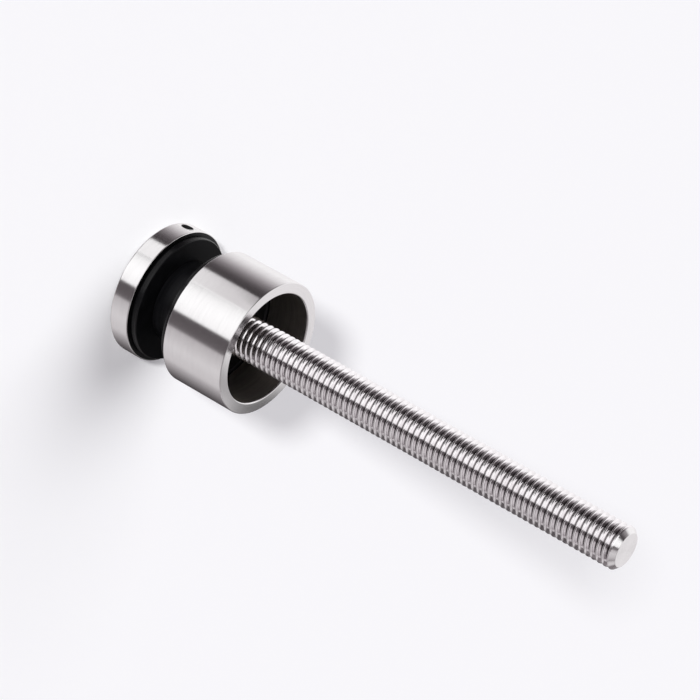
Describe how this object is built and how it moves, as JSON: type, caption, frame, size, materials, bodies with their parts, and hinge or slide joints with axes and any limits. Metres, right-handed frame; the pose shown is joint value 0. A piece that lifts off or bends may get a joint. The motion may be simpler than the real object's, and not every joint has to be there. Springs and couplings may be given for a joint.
{
  "type": "glass panel standoff",
  "caption": "Round clamp cap, black gaskets and sleeve, hollow barrel and long threaded stud that hold a glass panel off a wall.",
  "frame": {"origin": "centre of the cap's flat front face, on which the part stands on its head", "axes": "+Z along the stud from the cap to the wall end; +X through the tommy-bar hole in the edge of the cap"},
  "size_m": [0.038, 0.038, 0.1545],
  "materials": {
    "brushed_stainless": "circumferentially brushed satin",
    "bright_stainless": "bright rolled thread",
    "black_rubber": "smooth satin rubber",
    "black_nylon": "satin moulded nylon"
  },
  "bodies": {
    "cap": {"cap": "brushed_stainless", "cap_gasket": "black_rubber"},
    "sleeve": {"glass_sleeve": "black_nylon"},
    "stud": {"threaded_stud": "bright_stainless"},
    "back_gasket": {"barrel_gasket": "black_rubber"},
    "barrel": {"barrel": "brushed_stainless"}
  },
  "joints": [
    {"name": "stud_rise", "type": "slide", "parent": "cap", "child": "sleeve", "axis": [0, 0, 1], "range_m": [0, 0.00438]},
    {"name": "stud_turn", "type": "hinge", "parent": "sleeve", "child": "stud", "pos_m": [0, 0, 0.0015], "axis": [0, 0, 1], "range_deg": [0, 900]},
    {"name": "barrel_travel", "type": "slide", "parent": "stud", "child": "back_gasket", "axis": [0, 0, 1], "range_m": [0, 0.1155]},
    {"name": "barrel_turn", "type": "hinge", "parent": "back_gasket", "child": "barrel", "pos_m": [0, 0, 0.019], "axis": [0, 0, 1], "range_deg": [0, 23760]}
  ],
  "couplings": [
    {"joint": "stud_turn", "follows": "stud_rise", "rad_per_m": 3590.4},
    {"joint": "barrel_turn", "follows": "barrel_travel", "rad_per_m": 3590.4}
  ]
}
